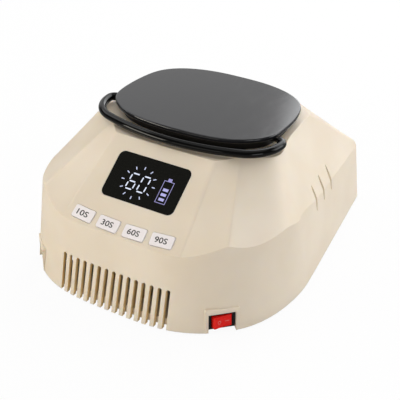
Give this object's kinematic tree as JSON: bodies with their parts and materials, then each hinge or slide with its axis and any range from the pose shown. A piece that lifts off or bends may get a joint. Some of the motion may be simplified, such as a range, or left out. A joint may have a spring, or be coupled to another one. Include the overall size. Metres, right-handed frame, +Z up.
{
  "type": "led nail lamp",
  "caption": "Cordless nail-curing lamp: faceted bowl body open at the rear for the hand, sloped panel with display and keys, side rocker switch, flat cap with fold-over bail handle.",
  "frame": {"origin": "on the table under the middle of the lamp's outline", "axes": "+X to the right seen from the display side, -Y towards the display and keys, +Y towards the hand opening, +Z up"},
  "size_m": [0.1786, 0.2004, 0.093],
  "materials": {
    "beige_plastic": "satin moulded",
    "white_plastic": "satin",
    "bright_liner": "bright reflective",
    "led_dome": "clear yellowish dome",
    "board_metal": "white solder mask",
    "inner_plastic": "as moulded",
    "cell_case": "sleeved",
    "board_green": "solder mask",
    "dark_plastic": "as moulded",
    "gloss_window": "high gloss",
    "key_plastic": "smooth",
    "red_plastic": "gloss",
    "black_gloss": "high gloss",
    "foot_rubber": "matt",
    "screw_steel": "zinc",
    "magnet_plate": "nickel"
  },
  "bodies": {
    "lamp": {"upper_housing": "beige_plastic", "bottom_frame": "beige_plastic", "reflector_liner": "bright_liner", "led_beads": "led_dome", "led_board_top": "board_metal", "led_board_left": "board_metal", "led_board_right": "board_metal", "led_board_front": "board_metal", "battery_holder": "inner_plastic", "battery_cells": "cell_case", "control_board": "board_green", "display_module": "dark_plastic", "display_lens": "gloss_window", "tact_switches": "dark_plastic", "power_switch_body": "dark_plastic", "dc_jack": "dark_plastic", "handle_base": "black_gloss", "top_plate": "black_gloss", "rubber_feet": "foot_rubber", "frame_screws": "screw_steel", "cap_screws": "screw_steel", "inner_screws": "screw_steel", "frame_magnets": "magnet_plate"},
    "handle": {"carry_handle": "black_gloss"},
    "rocker": {"power_rocker": "red_plastic"},
    "tray": {"base_tray": "white_plastic", "tray_magnets": "magnet_plate"},
    "key_10s": {"button_10s": "key_plastic"},
    "key_30s": {"button_30s": "key_plastic"},
    "key_60s": {"button_60s": "key_plastic"},
    "key_90s": {"button_90s": "key_plastic"}
  },
  "joints": [
    {"name": "handle_fold", "type": "hinge", "parent": "lamp", "child": "handle", "pos_m": [0, -0.00267, 0.0882], "axis": [-1, 0, 0], "range_deg": [0, 150]},
    {"name": "rocker_tip", "type": "hinge", "parent": "lamp", "child": "rocker", "pos_m": [0.06491, -0.07931, 0.008], "axis": [0, 0, -1], "range_deg": [0, 22]},
    {"name": "tray_pull", "type": "slide", "parent": "lamp", "child": "tray", "axis": [0, 1, 0], "range_m": [0, 0.14]},
    {"name": "key_10s_press", "type": "slide", "parent": "lamp", "child": "key_10s", "axis": [0, 0.6018, -0.7986], "range_m": [0, 0.0005], "stiffness_N_per_m": 2000},
    {"name": "key_30s_press", "type": "slide", "parent": "lamp", "child": "key_30s", "axis": [0, 0.6018, -0.7986], "range_m": [0, 0.0005], "stiffness_N_per_m": 2000},
    {"name": "key_60s_press", "type": "slide", "parent": "lamp", "child": "key_60s", "axis": [0, 0.6018, -0.7986], "range_m": [0, 0.0005], "stiffness_N_per_m": 2000},
    {"name": "key_90s_press", "type": "slide", "parent": "lamp", "child": "key_90s", "axis": [0, 0.6018, -0.7986], "range_m": [0, 0.0005], "stiffness_N_per_m": 2000}
  ]
}
